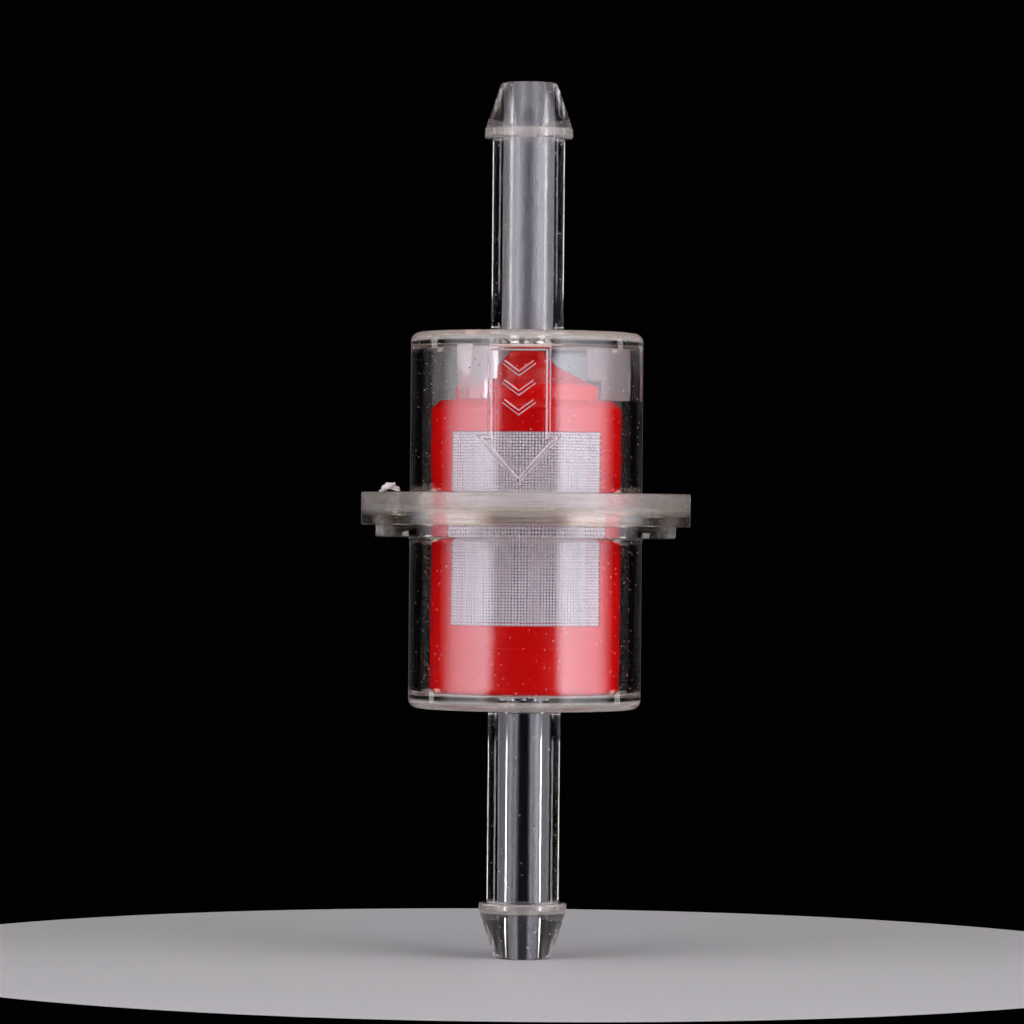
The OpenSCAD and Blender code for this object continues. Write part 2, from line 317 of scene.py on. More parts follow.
def outlet_loop():
    """Closed outline of the outlet half."""
    c = FLANGE_CHAMFER
    corner = BODY_R - BODY_CORNER_R
    ring_r = CAGE_BORE_R - RING_GAP
    ring_top = FLOOR_Z + RING_H
    return [
        (CAVITY_R, DISC_TOP_Z),
        *arc(DISC_R - c, DISC_TOP_Z - c, c, 90, 0, 3),
        *arc(DISC_R - c, DISC_BOTTOM_Z + c, c, 0, -90, 3),
        *arc(BODY_R + DISC_ROOT_R, DISC_BOTTOM_Z - DISC_ROOT_R, DISC_ROOT_R, 90, 180, 5),
        *line((BODY_R, DISC_BOTTOM_Z - 1), (BODY_R, OUTLET_END_Z + BODY_CORNER_R + 0.3), 12),
        *arc(corner, OUTLET_END_Z + BODY_CORNER_R, BODY_CORNER_R, 0, -90, 8),
        *[(r, OUTLET_END_Z - z) for r, z in tail_outside()],
        *[(r, OUTLET_END_Z - z) for r, z in tail_inside()],
        (ring_r - RING_T, FLOOR_Z),
        (ring_r - RING_T, ring_top),
        (ring_r, ring_top),
        (ring_r, FLOOR_Z),
        *arc(CAVITY_R - CAVITY_CORNER_R, FLOOR_Z + CAVITY_CORNER_R, CAVITY_CORNER_R, -90, 0),
        *line((CAVITY_R, FLOOR_Z + CAVITY_CORNER_R + 0.4), (CAVITY_R, DISC_TOP_Z), 14),
    ]


def rib(azimuth):
    """One locating rib: a fin that steps over the cage's tier and thins towards its foot."""
    top = CEILING_Z + END_T / 2
    outer = CAVITY_R + WALL_T / 2
    step_r = TIER_R + RIB_GAP
    outline = [
        (RIB_INNER_R, RIB_STEP_Z), (step_r, RIB_STEP_Z), (step_r, RIB_FOOT_Z),
        (outer, RIB_FOOT_Z), (outer, top), (RIB_INNER_R, top),
    ]
    verts = []
    for side in (-1, 1):
        for r, z in outline:
            share = (z - RIB_FOOT_Z) / (top - RIB_FOOT_Z)
            half = (RIB_END_T + (RIB_ROOT_T - RIB_END_T) * share) / 2
            verts.append((side * half, -r, z))
    n = len(outline)
    faces = [tuple(range(n)), tuple(range(2 * n - 1, n - 1, -1))]
    faces += [(i, (i + 1) % n, (i + 1) % n + n, i + n) for i in range(n)]
    obj = make_object("rib", verts, faces)
    face_outwards(obj)
    bevel(obj, RIB_EDGE, 3)
    obj.data.transform(Matrix.Rotation(azimuth, 4, "Z"))
    return obj


def fill_in(points, spacing):
    """The same path with points added so that none are further apart than the spacing."""
    filled = []
    for a, b in zip(points, points[1:]):
        steps = max(1, math.ceil((b - a).length / spacing))
        filled += [a.lerp(b, i / steps) for i in range(steps)]
    return filled + [points[-1]]


# A raised line's section, in shares of its width and height; its foot lies in the wall
MARK_SECTION = [
    (-0.5, -0.3), (-0.5, 0.0), (-0.26, 0.92), (-0.2, 1.0), (0.2, 1.0), (0.26, 0.92),
    (0.5, 0.0), (0.5, -0.3),
]
MARK_STEP = 0.45


def bead(name, points, closed):
    """A raised moulded line on the body's wall along points seen from the front."""
    section = MARK_SECTION
    path = fill_in([Vector(p) for p in points], MARK_STEP)
    if closed:
        path.pop()
    count, width = len(path), len(section)
    verts = []
    for i, p in enumerate(path):
        before = path[i - 1] if closed or i > 0 else None
        after = path[(i + 1) % count] if closed or i < count - 1 else None
        into = (p - before).normalized() if before is not None else None
        out = (after - p).normalized() if after is not None else into
        into = into if into is not None else out
        along = (into + out).normalized()
        side = Vector((-along.y, along.x)) / max(along.dot(out), 0.35)
        for across, up in section:
            q = p + side * (across * MARK_W)
            radius = BODY_R + up * MARK_H
            turn = math.asin(q.x / BODY_R) + ARROW_AZIMUTH
            verts.append((radius * math.sin(turn), -radius * math.cos(turn), q.y))
    faces = [
        (i * width + k, i * width + (k + 1) % width,
         (i + 1) % count * width + (k + 1) % width, (i + 1) % count * width + k)
        for i in range(count if closed else count - 1)
        for k in range(width)
    ]
    if not closed:
        faces += [tuple(range(width)), tuple(range(count * width - 1, (count - 1) * width - 1, -1))]
    obj = make_object(name, verts, faces)
    face_outwards(obj)
    return obj


def arrow_beads():
    """The outlined flow arrow and the plain chevrons inside its shaft."""
    top = INLET_END_Z - ARROW_TOP
    tip = top - ARROW_L
    neck = tip + ARROW_HEAD_L
    half_shaft, half_head = SHAFT_W / 2, HEAD_W / 2
    outline = [
        (0, tip), (-half_head, neck), (-half_shaft, neck), (-half_shaft, top),
        (half_shaft, top), (half_shaft, neck), (half_head, neck), (0, tip),
    ]
    beads = [bead("arrow", outline, True)]
    for i in range(CHEVRON_COUNT):
        z = top - CHEVRON_TOP - i * CHEVRON_PITCH
        chevron = [(-CHEVRON_W / 2, z), (0, z - CHEVRON_DROP), (CHEVRON_W / 2, z)]
        beads.append(bead("chevron", chevron, False))
    return beads


def build_inlet():
    """The inlet half with its ribs and raised arrow."""
    obj = spin("inlet_shell", inlet_loop())
    ribs = [rib(RIB_AZIMUTH + 2 * math.pi * i / RIB_COUNT) for i in range(RIB_COUNT)]
    unite(obj, ribs + arrow_beads())
    smooth(obj)
    even_normals(obj)
    return obj


def build_outlet():
    """The outlet half."""
    obj = spin("outlet_shell", outlet_loop())
    smooth(obj)
    return obj


# ---------------------------------------------------------------- red cage


WINDOW_ROWS = 8
FIRST_WINDOW_ROW = 2
LAST_WINDOW_ROW = FIRST_WINDOW_ROW + WINDOW_ROWS
WINDOW_COLUMNS = 32
POST_COLUMNS = 28
CAGE_EDGE = 0.12


def cage_skin_rows():
    """Heights of the cage wall's rows, from the foot's chamfer to the shoulder's chamfer."""
    low, high = FOOT_Z + FOOT_CHAMFER, SHOULDER_Z - SHOULDER_CHAMFER
    return [low, *np.linspace(SILL_Z, WINDOW_TOP_Z, WINDOW_ROWS + 1), high]


def cage_turns():
    """Angles of the cage's columns, with a column on each side of both windows."""
    half = WINDOW_ANGLE / 2
    inside = np.linspace(-half, half, WINDOW_COLUMNS + 1)
    post = np.linspace(half, math.pi - half, POST_COLUMNS + 1)[1:-1]
    turns = [*inside, *post]
    return turns + [t + math.pi for t in turns]


def cage_outlines():
    """Outer and inner (radius, height) outlines, from the foot up and in towards the axis."""
    rows = cage_skin_rows()
    edge = TIER_EDGE_R
    cap = [
        (CAGE_R - SHOULDER_CHAMFER, SHOULDER_Z), (TIER_R, SHOULDER_Z),
        *arc(TIER_TOP_R, TIER_Z - edge, edge, 0, 90, 5),
        *line((TIER_TOP_R, TIER_Z), (BOSS_R, CONE_Z), 3)[1:], (BOSS_R, CONE_Z),
        (BOSS_TOP_R, BOSS_Z), (BOSS_TOP_R / 2, BOSS_Z),
    ]
    lining = [
        (CAGE_BORE_R, SHOULDER_Z - CAGE_WALL - SHOULDER_CHAMFER),
        (CAGE_BORE_R - SHOULDER_CHAMFER, SHOULDER_Z - CAGE_WALL),
        (TIER_R - CAGE_WALL, SHOULDER_Z - CAGE_WALL),
        (TIER_R - CAGE_WALL, TIER_Z - CAGE_WALL - edge),
        (BOSS_R - CAGE_WALL / 2, CONE_Z - CAGE_WALL), (BOSS_R / 3, CONE_Z - CAGE_WALL),
    ]
    outer = [(CAGE_R - FOOT_CHAMFER, FOOT_Z), *[(CAGE_R, z) for z in rows], *cap]
    inner = [(CAGE_BORE_R, FOOT_Z), *[(CAGE_BORE_R, z) for z in rows[:-1]], *lining]
    return outer, inner


def window_columns(turns):
    """For each column of cells, whether it lies in a window."""
    n = len(turns)
    middles = [turn + (turns[(i + 1) % n] - turn) % (2 * math.pi) / 2 for i, turn in enumerate(turns)]
    return [abs((m + math.pi / 2) % math.pi - math.pi / 2) < WINDOW_ANGLE / 2 for m in middles]


def skin_faces(start, row_count, in_window):
    """Faces of one skin, whose points begin at start, without the windows."""
    n = len(in_window)
    faces = []
    for row in range(row_count - 1):
        for column, open_here in enumerate(in_window):
            if open_here and FIRST_WINDOW_ROW <= row < LAST_WINDOW_ROW:
                continue
            a, b = start + row * n + column, start + row * n + (column + 1) % n
            faces.append((a, b, b + n, a + n))
    return faces


def edge_faces(inner_start, in_window):
    """Faces between the two skins, at the foot and round the windows."""
    n = len(in_window)
    faces = []
    for column, open_here in enumerate(in_window):
        after = (column + 1) % n
        faces.append((column, after, inner_start + after, inner_start + column))
        for row in (FIRST_WINDOW_ROW, LAST_WINDOW_ROW):
            if open_here:
                a, b = row * n + column, row * n + after
                faces.append((a, b, inner_start + b, inner_start + a))
    for row in range(FIRST_WINDOW_ROW, LAST_WINDOW_ROW):
        for column, open_here in enumerate(in_window):
            if open_here != in_window[column - 1]:
                a, b = row * n + column, (row + 1) * n + column
                faces.append((a, b, inner_start + b, inner_start + a))
    return faces


def build_cage():
    """The cage: a wall with two open windows, closed on top by the shoulder, tier and boss."""
    turns = cage_turns()
    in_window = window_columns(turns)
    outer, inner = cage_outlines()
    n = len(turns)
    inner_start = len(outer) * n
    verts = [(r * math.sin(t), -r * math.cos(t), z) for r, z in outer + inner for t in turns]
    faces = skin_faces(0, len(outer), in_window) + skin_faces(inner_start, len(inner), in_window)
    faces += edge_faces(inner_start, in_window)
    faces.append(tuple(inner_start - n + c for c in range(n)))
    faces.append(tuple(len(verts) - n + c for c in range(n)))
    obj = make_object("cage_moulding", verts, faces)
    face_outwards(obj)
    bevel(obj, CAGE_EDGE, 3, 35)
    smooth(obj)
    even_normals(obj)
    return obj


# ---------------------------------------------------------------- woven screens

CLOTH_INSET = 0.18
CLOTH_R = CAGE_R - CLOTH_INSET
WARP_PITCH = 0.272
WEFT_PITCH = 0.262
THREAD_D = 0.12


def thread(path, sides=5):
    """A tube of the thread's diameter along an open path, as points and faces."""
    along = np.gradient(path, axis=0)
    along /= np.linalg.norm(along, axis=1)[:, None]
    out = path * (1, 1, 0)
    out /= np.linalg.norm(out, axis=1)[:, None]
    side = np.cross(along, out)
    side /= np.linalg.norm(side, axis=1)[:, None]
    out = np.cross(side, along)
    rings = [
        path + (out * math.cos(t) + side * math.sin(t)) * THREAD_D / 2
        for t in np.arange(sides) * 2 * math.pi / sides
    ]
    verts = np.stack(rings, axis=1).reshape(-1, 3)
    count = len(path)
    faces = [
        (i * sides + k, i * sides + (k + 1) % sides,
         (i + 1) * sides + (k + 1) % sides, (i + 1) * sides + k)
        for i in range(count - 1)
        for k in range(sides)
    ]
    faces += [tuple(range(sides)), tuple(range(count * sides - 1, (count - 1) * sides - 1, -1))]
    return verts, faces


def build_screen(name, azimuth, seed):
    """Plain-woven cloth across one window, with its threads' ends moulded into the cage."""
    grip = CLOTH_GRIP / CLOTH_R
    half = WINDOW_ANGLE / 2 + grip
    low, high = SILL_Z - CLOTH_GRIP, WINDOW_TOP_Z + CLOTH_GRIP
    warps = int(2 * half * CLOTH_R / WARP_PITCH)
    wefts = int((high - low) / WEFT_PITCH)
    turns = (np.arange(warps) - (warps - 1) / 2) * WARP_PITCH / CLOTH_R
    levels = low + (np.arange(wefts) + 0.5) * (high - low) / wefts
    rng = np.random.default_rng(seed)
    amplitude = THREAD_D / 2
    verts, faces = [], []

    def add(turn, radius, z):
        path = np.stack([radius * np.sin(turn), -radius * np.cos(turn), z], axis=1)
        tube_verts, tube_faces = thread(path)
        start = len(verts)
        verts.extend(map(tuple, tube_verts))
        faces.extend(tuple(i + start for i in face) for face in tube_faces)

    for i, turn in enumerate(turns):
        z = np.linspace(low, high, wefts * 2 + 1)
        phase = (z - levels[0]) / (levels[1] - levels[0]) * math.pi
        radius = CLOTH_R + amplitude * np.cos(phase) * (1 if i % 2 else -1)
        wander = rng.normal(0, 0.008) + 0.012 * np.sin(z * rng.uniform(0.4, 0.9) + rng.uniform(0, 6))
        add(azimuth + turn + wander / CLOTH_R, radius, z)
    for j, level in enumerate(levels):
        t = np.linspace(-half, half, warps * 2 + 1)
        phase = (t - turns[0]) / (turns[1] - turns[0]) * math.pi
        radius = CLOTH_R + amplitude * np.cos(phase) * (-1 if j % 2 else 1)
        wander = rng.normal(0, 0.006) + 0.01 * np.sin(t * rng.uniform(2, 5) + rng.uniform(0, 6))
        add(azimuth + t, radius, level + wander)
    obj = make_object(name, verts, faces)
    smooth(obj, 60)
    return obj


# ---------------------------------------------------------------- weld


def bead_ring(turn):
    """The weld bead's uneven (radius, height) section at one angle."""
    inner, outer = -BEAD_LOW.x - BEAD_W, -BEAD_LOW.x
    low, high = BEAD_LOW.z + 0.002, BEAD_HIGH.z - 0.002
    middle = (BEAD_LOW.z + BEAD_HIGH.z) / 2
    ripple = noise.noise((math.sin(turn) * 4, math.cos(turn) * 4, 0.3))
    finer = noise.noise((math.sin(turn) * 14, math.cos(turn) * 14, 7.1))
    a = inner + 0.1 + 0.1 * ripple + 0.05 * finer
    b = outer - 0.12 + 0.1 * ripple - 0.06 * finer
    return [(a, low), (b, low), (b + 0.04, middle), (b, high), (a, high), (a - 0.04, middle)]


def build_bead(segments=360):
    """The remelted ring between the halves, with an uneven edge."""
    verts, faces = [], []
    for s in range(segments):
        turn = 2 * math.pi * s / segments
        ring = bead_ring(turn)
        n = len(ring)
        verts += [(r * math.sin(turn), -r * math.cos(turn), z) for r, z in ring]
        after = (s + 1) % segments
        faces += [
            (s * n + k, s * n + (k + 1) % n, after * n + (k + 1) % n, after * n + k)
            for k in range(n)
        ]
    obj = make_object("weld_ring", verts, faces)
    face_outwards(obj)
    smooth(obj)
    return obj


# The crumb's lumps before they are torn: centre and radius, in arbitrary units
LUMPS = [
    (0.0, 0.0, 0.1, 0.62), (0.45, 0.1, -0.2, 0.5), (-0.45, -0.1, -0.15, 0.52),
    (-0.15, 0.3, 0.35, 0.4), (0.2, -0.3, 0.3, 0.42), (-0.75, 0.1, -0.55, 0.3),
    (0.72, -0.15, -0.5, 0.3),
]
LUMP_DROP = 0.2


def lump_mesh():
    """A mesh of the lumps run together."""
    balls = bpy.data.metaballs.new("crumb_lumps")
    balls.resolution = 0.05
    balls.threshold = 0.3
    for x, y, z, r in LUMPS:
        ball = balls.elements.new()
        ball.co = (x, y, z)
        ball.radius = r
    holder = bpy.data.objects.new("crumb_lumps", balls)
    bpy.context.scene.collection.objects.link(holder)
    depsgraph = bpy.context.evaluated_depsgraph_get()
    mesh = bpy.data.meshes.new_from_object(holder.evaluated_get(depsgraph))
    bpy.data.objects.remove(holder)
    return mesh


def build_flash():
    """The frosted crumb of flash on top of the flange: a few lumps run together, torn and rough."""
    centre = (FLASH_LOW + FLASH_HIGH) / 2
    half = (FLASH_HIGH - FLASH_LOW) / 2
    mesh = lump_mesh()
    points = np.array([v.co for v in mesh.vertices])
    points = (points - points.min(0)) / (points.max(0) - points.min(0)) * 2 - 1
    for v, q in zip(mesh.vertices, points):
        p = Vector(q)
        torn = 0.2 * noise.noise(p * 3.1 + Vector((4, 0, 0)))
        fine = 0.11 * noise.noise(p * 8.3 + Vector((0, 7, 0)))
        p *= 0.84 + torn + fine
        spot = (
            centre.x + p.x * half.x,
            centre.y + p.y * half.y,
            centre.z + (p.z - LUMP_DROP) * half.z,
        )
        kept = [min(max(c, least), most) for c, least, most in zip(spot, FLASH_LOW, FLASH_HIGH)]
        v.co = Vector(kept) * MM
    mesh.update()
    mesh.name = "flash_crumb"
    obj = bpy.data.objects.new("flash_crumb", mesh)
    bpy.context.scene.collection.objects.link(obj)
    smooth(obj, 50)
    return obj


# ---------------------------------------------------------------- materials


def new_material(name):
    """A material with one Principled shader; returns it with its tree and the shader."""
    mat = bpy.data.materials.new(name)
    mat.use_nodes = True
    tree = mat.node_tree
    return mat, tree, tree.nodes["Principled BSDF"]


def coords(tree, scale=(1, 1, 1)):
    """Object coordinates in millimetres, stretched by the scale."""
    source = tree.nodes.new("ShaderNodeTexCoord")
    mapping = tree.nodes.new("ShaderNodeMapping")
    mapping.inputs["Scale"].default_value = [s / MM for s in scale]
    tree.links.new(source.outputs["Object"], mapping.inputs["Vector"])
    return mapping.outputs["Vector"]


def noise_texture(tree, vector, scale, detail=2.0, rough=0.5):
    """A noise texture of so many cells per millimetre."""
    tex = tree.nodes.new("ShaderNodeTexNoise")
    tex.inputs["Scale"].default_value = scale
    tex.inputs["Detail"].default_value = detail
    tex.inputs["Roughness"].default_value = rough
    tree.links.new(vector, tex.inputs["Vector"])
    return tex.outputs["Fac"]


def ramp(tree, source, low, high, at_low, at_high):
    """A value that runs from at_low to at_high as the source goes from low to high."""
    node = tree.nodes.new("ShaderNodeMapRange")
    node.inputs["From Min"].default_value = low
    node.inputs["From Max"].default_value = high
    node.inputs["To Min"].default_value = at_low
    node.inputs["To Max"].default_value = at_high
    tree.links.new(source, node.inputs["Value"])
    return node.outputs["Result"]


def speckle(tree, per_mm, size):
    """One where a small round speck lies, nothing elsewhere; a part of the cells has one."""
    tex = tree.nodes.new("ShaderNodeTexVoronoi")
    tex.inputs["Scale"].default_value = per_mm
    tree.links.new(coords(tree), tex.inputs["Vector"])
    spot = ramp(tree, tex.outputs["Distance"], size * 0.4, size, 1, 0)
    split = tree.nodes.new("ShaderNodeSeparateColor")
    tree.links.new(tex.outputs["Color"], split.inputs["Color"])
    return maths(tree, "MULTIPLY", spot, ramp(tree, split.outputs[0], 0.4, 0.45, 0, 1))


def mixed_colour(tree, factor, at_none, at_full):
    """A colour between the two, by the factor."""
    node = tree.nodes.new("ShaderNodeMix")
    node.data_type = "RGBA"
    node.inputs["A"].default_value = at_none
    node.inputs["B"].default_value = at_full
    tree.links.new(factor, node.inputs["Factor"])
    return node.outputs["Result"]


def maths(tree, operation, a, b):
    """The result of a two-input sum or product."""
    node = tree.nodes.new("ShaderNodeMath")
    node.operation = operation
    for socket, value in zip(node.inputs, (a, b)):
        if isinstance(value, (int, float)):
            socket.default_value = value
        else:
            tree.links.new(value, socket)
    return node.outputs[0]


def bump(tree, height, distance, normal=None):
    """A bump of the height source, with its distance in millimetres."""
    node = tree.nodes.new("ShaderNodeBump")
    node.inputs["Strength"].default_value = 1.0
    node.inputs["Distance"].default_value = distance * MM
    tree.links.new(height, node.inputs["Height"])
    if normal is not None:
        tree.links.new(normal, node.inputs["Normal"])
    return node.outputs["Normal"]


PLASTIC_IOR = 1.5
NYLON_IOR = 1.53


def clear_material():
    """Clear moulded plastic: faint waviness, hairline scratches, and dust."""
    mat, tree, shader = new_material("clear_plastic_look")
    shader.inputs["Base Color"].default_value = (0.99, 0.985, 0.975, 1)
    shader.inputs["Transmission Weight"].default_value = 1.0
    shader.inputs["IOR"].default_value = PLASTIC_IOR
    waves = noise_texture(tree, coords(tree, (1, 1, 0.2)), 0.3, 2)
    scratches = noise_texture(tree, coords(tree, (6, 6, 0.35)), 1.2, 4, 0.7)
    specks = speckle(tree, 1.6, 0.12)
    dust = maths(tree, "MULTIPLY", specks, 0.9)
    rough = maths(tree, "ADD", ramp(tree, scratches, 0.45, 0.75, 0.02, 0.1), dust)
    tree.links.new(rough, shader.inputs["Roughness"])
    normal = bump(tree, waves, 0.03)
    normal = bump(tree, ramp(tree, scratches, 0.62, 0.7, 0, 1), 0.0012, normal)
    normal = bump(tree, specks, 0.035, normal)
    tree.links.new(normal, shader.inputs["Normal"])
    return mat


# The flange is clear for the first height above its lower face, and clouds over in the second
CLEAR_BAND = 0.8
CLOUDING_BAND = 0.7


def rim_material():
    """The same plastic where the weld has left it cloudy towards the top, with streaks round it."""
    mat, tree, shader = new_material("cloudy_rim_look")
    shader.inputs["IOR"].default_value = PLASTIC_IOR
    split = tree.nodes.new("ShaderNodeSeparateXYZ")
    tree.links.new(coords(tree), split.inputs[0])
    low, high = PARTING_Z + CLEAR_BAND, PARTING_Z + CLEAR_BAND + CLOUDING_BAND
    upper = ramp(tree, split.outputs["Z"], low, high, 0.1, 1)
    clarity = ramp(tree, split.outputs["Z"], low, high, 0.99, 0.88)
    tree.links.new(clarity, shader.inputs["Transmission Weight"])
    streaks = noise_texture(tree, coords(tree, (0.12, 0.12, 3.2)), 1.0, 5, 0.65)
    cloud = noise_texture(tree, coords(tree, (0.5, 0.5, 1)), 0.8, 4)
    share = ramp(tree, streaks, 0.38, 0.54, 0, 1)
    colour = mixed_colour(tree, share, (0.8, 0.69, 0.54, 1), (1.0, 0.955, 0.87, 1))
    tree.links.new(colour, shader.inputs["Base Color"])
    rough = ramp(tree, streaks, 0.35, 0.65, 0.05, 0.17)
    rough = maths(tree, "ADD", rough, ramp(tree, cloud, 0.3, 0.7, 0, 0.1))
    tree.links.new(maths(tree, "MULTIPLY", rough, upper), shader.inputs["Roughness"])
    normal = bump(tree, maths(tree, "MULTIPLY", streaks, upper), 0.12)
    normal = bump(tree, noise_texture(tree, coords(tree), 5, 3), 0.008, normal)
    tree.links.new(normal, shader.inputs["Normal"])
    return mat


def dull_material(name, colour, clarity):
    """The same plastic where the mould has left it a little dull, in the colour given; on the marks'
    flanks that colour is painted shade.
    """
    mat, tree, shader = new_material(name)
    shader.inputs["Base Color"].default_value = colour
    shader.inputs["Transmission Weight"].default_value = clarity
    shader.inputs["IOR"].default_value = PLASTIC_IOR
    cloud = noise_texture(tree, coords(tree), 0.9, 4)
    tree.links.new(ramp(tree, cloud, 0.3, 0.7, 0.1, 0.24), shader.inputs["Roughness"])
    tree.links.new(bump(tree, cloud, 0.02), shader.inputs["Normal"])
    return mat


def bore_material(name, colour, clarity, least_rough, most_rough):
    """A tail's passage, left satin by its core pin, in the colour given; the outlet's dark grey colour
    is painted shade that dims the tail's middle.
    """
    mat, tree, shader = new_material(name)
    shader.inputs["Base Color"].default_value = colour
    shader.inputs["Transmission Weight"].default_value = clarity
    shader.inputs["IOR"].default_value = PLASTIC_IOR
    drag = noise_texture(tree, coords(tree, (4, 4, 0.2)), 1.0, 4, 0.6)
    tree.links.new(ramp(tree, drag, 0.3, 0.7, least_rough, most_rough), shader.inputs["Roughness"])
    tree.links.new(bump(tree, drag, 0.002), shader.inputs["Normal"])
    return mat


def red_material():
    """Opaque red moulded plastic with faint flow marks round it."""
    mat, tree, shader = new_material("red_plastic_look")
    tone = noise_texture(tree, coords(tree, (1, 1, 0.5)), 0.5, 3)
    colour = mixed_colour(tree, tone, (0.72, 0.002, 0.002, 1), (0.82, 0.004, 0.003, 1))
    tree.links.new(colour, shader.inputs["Base Color"])
    grain = noise_texture(tree, coords(tree), 7.0, 3)
    marks = noise_texture(tree, coords(tree, (0.05, 0.05, 2.2)), 1.0, 3)
    tree.links.new(ramp(tree, grain, 0.3, 0.7, 0.17, 0.25), shader.inputs["Roughness"])
    shader.inputs["Specular IOR Level"].default_value = 0.2
    normal = bump(tree, ramp(tree, marks, 0.6, 0.7, 0, 1), 0.02)
    tree.links.new(bump(tree, grain, 0.003, normal), shader.inputs["Normal"])
    shader.inputs["IOR"].default_value = PLASTIC_IOR
    return mat


def cloth_material():
    """White nylon thread, slightly uneven in tone, with a pink cast painted in as reflection of the
    red cage.
    """
    mat, tree, shader = new_material("nylon_thread_look")
    tone = noise_texture(tree, coords(tree), 1.5, 3)
    # The pink cast is painted reflection of the red cage; the uneven tone is the thread's own
    colour = mixed_colour(tree, tone, (0.95, 0.87, 0.92, 1), (1.0, 0.94, 0.98, 1))
    tree.links.new(colour, shader.inputs["Base Color"])
    shader.inputs["Roughness"].default_value = 0.25
    shader.inputs["Specular IOR Level"].default_value = 0.9
    shader.inputs["IOR"].default_value = NYLON_IOR
    return mat


def weld_material():
    """Remelted plastic, a little cloudy."""
    mat, tree, shader = new_material("weld_plastic_look")
    shader.inputs["Base Color"].default_value = (0.98, 0.95, 0.91, 1)
    shader.inputs["Transmission Weight"].default_value = 0.97
    shader.inputs["IOR"].default_value = PLASTIC_IOR
    cloud = noise_texture(tree, coords(tree), 2.5, 4)
    tree.links.new(ramp(tree, cloud, 0.3, 0.7, 0.02, 0.08), shader.inputs["Roughness"])
    tree.links.new(bump(tree, cloud, 0.03), shader.inputs["Normal"])
    return mat


def flash_material():
    """Frosted white crumb of plastic."""
    mat, tree, shader = new_material("flash_plastic_look")
    shader.inputs["Base Color"].default_value = (0.95, 0.88, 0.88, 1)
    shader.inputs["Transmission Weight"].default_value = 0.3
    shader.inputs["IOR"].default_value = PLASTIC_IOR
    grain = noise_texture(tree, coords(tree), 6, 4)
    tree.links.new(ramp(tree, grain, 0.3, 0.7, 0.3, 0.6), shader.inputs["Roughness"])
    tree.links.new(bump(tree, grain, 0.05), shader.inputs["Normal"])
    return mat


def floor_material():
    """Plain pale matt surface."""
    mat, tree, shader = new_material("floor_look")
    shader.inputs["Base Color"].default_value = (0.56, 0.55, 0.54, 1)
    grain = noise_texture(tree, coords(tree), 0.8, 3)
    tree.links.new(ramp(tree, grain, 0.3, 0.7, 0.5, 0.6), shader.inputs["Roughness"])
    return mat


def wear(obj, mat, *zones):
    """Gives the object one material, and others where a zone's test of radius and height holds."""
    obj.data.materials.clear()
    obj.data.materials.append(mat)
    for index, (zone_mat, inside) in enumerate(zones, 1):
        obj.data.materials.append(zone_mat)
        for face in obj.data.polygons:
            x, y, z = face.center / MM
            if inside(math.hypot(x, y), z):
                face.material_index = index


def on_rim(radius, height):
    """On the flange."""
    return radius > BODY_R + 0.2 and PARTING_Z - 0.05 < height < FLANGE_TOP_Z + 0.05


def in_bore(radius, height):
    """On the wall of a tail's passage."""
    return radius < BORE_R + 0.05 and CEILING_Z < abs(height) < TIP_Z - BORE_CHAMFER


def on_ribs(radius, height):
    """On the ribs that hold the cage down."""
    return BORE_R + 1 < radius < CAVITY_R - 0.1 and SHOULDER_Z < height < CEILING_Z - 0.1


def on_mark_flanks(radius, height):
    """On the sloping sides of the raised arrow and chevrons."""
    on_wall = FLANGE_TOP_Z + 0.3 < height < INLET_END_Z - 1
    return on_wall and BODY_R + 0.02 < radius < BODY_R + 0.8 * MARK_H


def on_end(radius, height):
    """On an end wall or the corner round it."""
    return radius > TAIL_R + 0.5 and abs(height) > CEILING_Z - 0.02


# ---------------------------------------------------------------- assembly


def place(obj, mat, node, slot, *zones):
    """Rides the piece on the frame in the place of its CAD node."""
    wear(obj, mat, *zones)
    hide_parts(node)
    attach(obj, "root")


clear = clear_material()
cloth = cloth_material()
rim = (rim_material(), on_rim)
dull_end = dull_material("dull_end_look", (0.95, 0.87, 0.76, 1), clarity=0.8)
# The marks' flanks get a darker pinkish-brown: painted shade, a dark line beside each raised line
painted_shade_mark = dull_material("painted_shade_mark_look", (0.76, 0.62, 0.64, 1), clarity=0.5)
dull_rib = dull_material("dull_rib_look", (0.98, 0.94, 0.95, 1), clarity=0.72)
satin_bore = bore_material(
    "satin_bore_look", (0.76, 0.75, 0.8, 1), clarity=0.9, least_rough=0.24, most_rough=0.34
)
# The outlet's passage is dark grey: painted shade over the lower tail's middle; its low roughness is
# its own smooth finish
fine_painted_shade_bore = bore_material(
    "fine_painted_shade_bore_look", (0.24, 0.235, 0.27, 1), clarity=0.97, least_rough=0.02, most_rough=0.05
)
end = (dull_end, on_end)
mark = (painted_shade_mark, on_mark_flanks)
ribs = (dull_rib, on_ribs)
inlet_bore = (satin_bore, in_bore)
outlet_bore = (fine_painted_shade_bore, in_bore)
place(build_inlet(), clear, "inlet_housing", "clear_plastic", rim, end, ribs, mark, inlet_bore)
place(build_outlet(), clear, "outlet_housing", "clear_plastic", end, outlet_bore)
place(build_cage(), red_material(), "filter_cage", "red_plastic")
place(build_screen("front_cloth", azimuth=0, seed=11), cloth, "front_screen", "screen_cloth")
place(build_screen("rear_cloth", azimuth=math.pi, seed=12), cloth, "rear_screen", "screen_cloth")
place(build_bead(), weld_material(), "weld_bead", "weld_plastic")
place(build_flash(), flash_material(), "weld_flash", "flash_plastic")

# ---------------------------------------------------------------- stage, lights, camera

